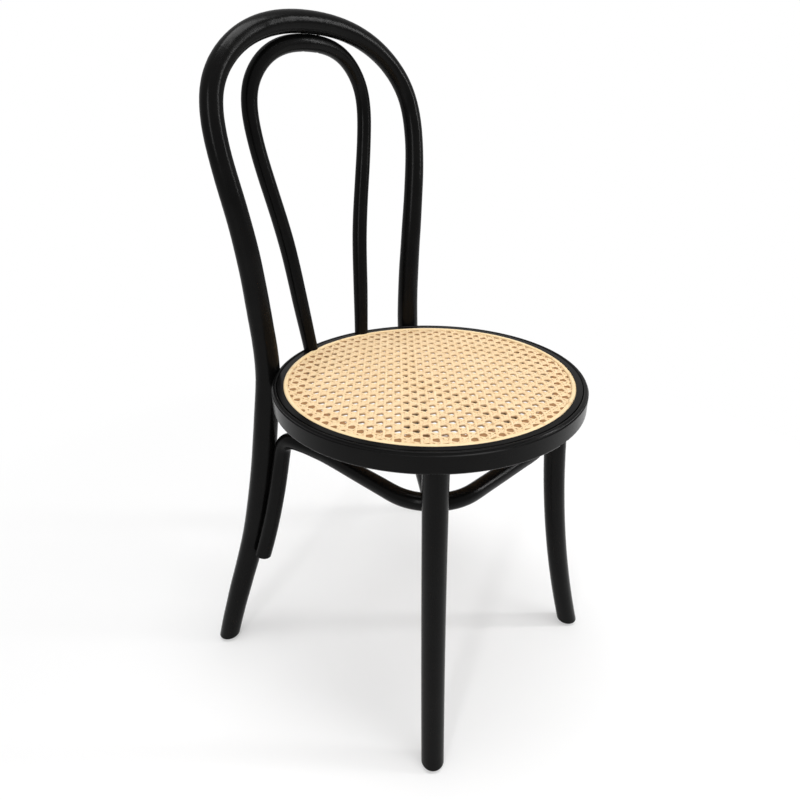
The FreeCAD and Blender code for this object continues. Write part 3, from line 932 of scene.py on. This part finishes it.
    def weave(self) -> bpy.types.Object:
        """Weave all strands into one mesh that stands for the plain cane disc.

        Returns:
            The woven seat.
        """
        rng = random.Random(self.seed)
        strands = StrandMesh()
        for layer in Layer:
            diagonal = layer in (Layer.RISING, Layer.FALLING)
            width = self.diagonal_width if diagonal else self.strand_width
            for offset in self._offsets(layer):
                path, across = self._line(layer, offset, rng)
                tone = rng.random()
                size = (width * rng.uniform(*self.width_range), self.strand_dome)
                start = rng.uniform(0, self.fibre_spread)
                strands.add(path, across, size, self._depths(path), tone, start)
        return self._object(strands)

    def _object(self, strands: StrandMesh) -> bpy.types.Object:
        """Make the mesh object from the collected strands.

        Args:
            strands: The collected strands.

        Returns:
            The mesh object.
        """
        mesh = bpy.data.meshes.new("woven_cane")
        mesh.from_pydata(strands.points, [], strands.faces)
        uv_layer = mesh.uv_layers.new(name="strand")
        for loop in mesh.loops:
            uv_layer.data[loop.index].uv = strands.uvs[loop.vertex_index]
        tone = mesh.attributes.new("tone", "FLOAT", "POINT")
        tone.data.foreach_set("value", strands.tones)
        # The painted shade value goes to the material, which darkens the strands' sides with it.
        shade = mesh.attributes.new("shade", "FLOAT", "POINT")
        shade.data.foreach_set("value", strands.shades)
        mesh.polygons.foreach_set("use_smooth", [True] * len(mesh.polygons))
        mesh.update()
        woven = bpy.data.objects.new("woven_cane", mesh)
        bpy.context.scene.collection.objects.link(woven)
        return woven

    def build(self, groups: EffectGroups) -> None:
        """Weave and dress the seat, and let it stand for the plain disc.

        Args:
            groups: The shared effects.
        """
        woven = self.weave()
        woven.data.materials.append(self.rattan.make(groups, True))
        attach(woven, "root")
        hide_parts("cane_panel")
        log.info("wove %s: %d faces", woven.name, len(woven.data.polygons))


@dataclass
class BorderReed:
    """The reed pressed into the groove around the cane."""

    rattan: NaturalRattan = NaturalRattan(
        name="border_reed",
        light=(0.88, 0.70, 0.43),
        deep=(0.82, 0.61, 0.34),
        streak=(0.72, 0.5, 0.26),
        ring=(0.6, 0.38, 0.18),
    )

    def dress(self, groups: EffectGroups) -> None:
        """Finish the reed.

        Args:
            groups: The shared effects.
        """
        dress_node("cane_spline", self.rattan.make(groups, False))


@dataclass(frozen=True)
class Softbox:
    """A soft rectangular lamp: where it hangs, what it points at, its sides in metres and its watts."""

    name: str
    place: tuple[float, float, float]
    target: tuple[float, float, float]
    size: tuple[float, float]
    power: float


@dataclass
class Studio:
    """The pale floor, the white backdrop, the soft lamps and the camera."""

    floor_size: float = 40.0
    floor_colour: Colour = (0.93, 0.93, 0.93)
    floor_roughness: float = 0.9
    shadow_reach: tuple[float, float] = (0.5, 1.15)
    shadow_lift: float = 0.35
    fill_strength: float = 0.55
    camera_place: tuple[float, float, float] = (-0.5265, -0.470791 + SEAT_AXIS_Y, 0.748413)
    camera_azimuth: float = -45.123
    camera_pitch: float = 25.754
    camera_roll: float = -0.452
    camera_lens: float = 25.95
    camera_sensor: float = 36.0
    camera_near: float = 0.01
    lamps: tuple[Softbox, ...] = (
        Softbox("overhead_softbox", (0.1, -0.2, 2.6), (0.0, 0.0, 0.3), (0.7, 1.9), 34.0),
        Softbox("left_softbox", (-2.4, -1.0, 1.7), (0.0, 0.0, 0.45), (0.24, 1.7), 17.0),
        Softbox("right_softbox", (2.0, -2.0, 1.8), (0.0, 0.0, 0.4), (0.24, 1.6), 25.0),
    )

    def build(self) -> None:
        """Build the whole studio."""
        self._floor()
        self._backdrop()
        for softbox in self.lamps:
            self._hang(softbox)
        self._camera()
        bpy.context.scene.view_settings.view_transform = "Standard"

    @staticmethod
    def _seen_rays(tree: bpy.types.NodeTree) -> bpy.types.NodeSocket:
        """Give 1 for the rays in which the studio looks white: camera and transmission rays.

        Args:
            tree: The node tree to build in.

        Returns:
            The mask's socket.
        """
        path = tree.nodes.new("ShaderNodeLightPath")
        return math_node(tree, "MAXIMUM", path.outputs["Is Camera Ray"], path.outputs["Is Transmission Ray"])

    def _floor(self) -> None:
        """Lay the pale floor, which fades into the white backdrop."""
        half = self.floor_size / 2
        mesh = bpy.data.meshes.new("studio_floor")
        corners = [(-half, -half, 0.0), (half, -half, 0.0), (half, half, 0.0), (-half, half, 0.0)]
        mesh.from_pydata(corners, [], [(0, 1, 2, 3)])
        floor = bpy.data.objects.new("studio_floor", mesh)
        bpy.context.scene.collection.objects.link(floor)
        material, tree, surface = new_surface("studio_floor")
        surface.inputs["Base Color"].default_value = (*self.floor_colour, 1.0)
        surface.inputs["Roughness"].default_value = self.floor_roughness
        surface.inputs["Specular IOR Level"].default_value = 0.0
        place = tree.nodes.new("ShaderNodeTexCoord").outputs["Object"]
        length = tree.nodes.new("ShaderNodeVectorMath")
        length.operation = "LENGTH"
        tree.links.new(place, length.inputs[0])
        far = map_node(tree, length.outputs["Value"], self.shadow_reach, (self.shadow_lift, 1.0))
        white = tree.nodes.new("ShaderNodeEmission")
        white.inputs["Strength"].default_value = 1.0
        blend = tree.nodes.new("ShaderNodeMixShader")
        tree.links.new(math_node(tree, "MULTIPLY", far, self._seen_rays(tree)), blend.inputs[0])
        tree.links.new(surface.outputs[0], blend.inputs[1])
        tree.links.new(white.outputs[0], blend.inputs[2])
        tree.links.new(blend.outputs[0], tree.nodes["Material Output"].inputs["Surface"])
        mesh.materials.append(material)

    def _backdrop(self) -> None:
        """Make the world white where it is seen, and a soft fill elsewhere."""
        world = bpy.data.worlds.new("studio_backdrop")
        bpy.context.scene.world = world
        world.use_nodes = True
        tree = world.node_tree
        background = tree.nodes["Background"]
        background.inputs["Color"].default_value = (1.0, 1.0, 1.0, 1.0)
        strength = map_node(tree, self._seen_rays(tree), (0.0, 1.0), (self.fill_strength, 1.0))
        tree.links.new(strength, background.inputs["Strength"])

    @staticmethod
    def _hang(softbox: Softbox) -> None:
        """Hang a lamp and point it at its target.

        Args:
            softbox: The lamp.
        """
        data = bpy.data.lights.new(softbox.name, "AREA")
        data.shape = "RECTANGLE"
        data.size, data.size_y = softbox.size
        data.energy = softbox.power
        lamp = bpy.data.objects.new(softbox.name, data)
        bpy.context.scene.collection.objects.link(lamp)
        lamp.location = softbox.place
        aim = Vector(softbox.target) - Vector(softbox.place)
        lamp.rotation_euler = aim.to_track_quat("-Z", "Y").to_euler()

    def _camera(self) -> None:
        """Set the camera at the photograph's viewing angle."""
        azimuth = math.radians(self.camera_azimuth)
        pitch = math.radians(self.camera_pitch)
        roll = math.radians(self.camera_roll)
        level = math.cos(pitch)
        back = Vector((math.sin(azimuth) * level, -math.cos(azimuth) * level, math.sin(pitch)))
        right = Vector((math.cos(azimuth), math.sin(azimuth), 0.0))
        up = back.cross(right)
        rolled_right = right * math.cos(roll) + up * math.sin(roll)
        rolled_up = up * math.cos(roll) - right * math.sin(roll)
        turned = Matrix((rolled_right, rolled_up, back)).transposed().to_4x4()
        data = bpy.data.cameras.new("photo_camera")
        data.sensor_width = self.camera_sensor
        data.lens = self.camera_lens
        data.clip_start = self.camera_near
        camera = bpy.data.objects.new("photo_camera", data)
        bpy.context.scene.collection.objects.link(camera)
        camera.matrix_world = Matrix.Translation(self.camera_place) @ turned
        bpy.context.scene.camera = camera


def main() -> None:
    """Build the chair's looks and the studio."""
    logging.basicConfig(level=logging.INFO)
    groups = EffectGroups()
    BentFrame().dress(groups)
    Fixings().dress(groups)
    BorderReed().dress(groups)
    WovenCane().build(groups)
    Studio().build()


if __name__ == "__main__":
    main()
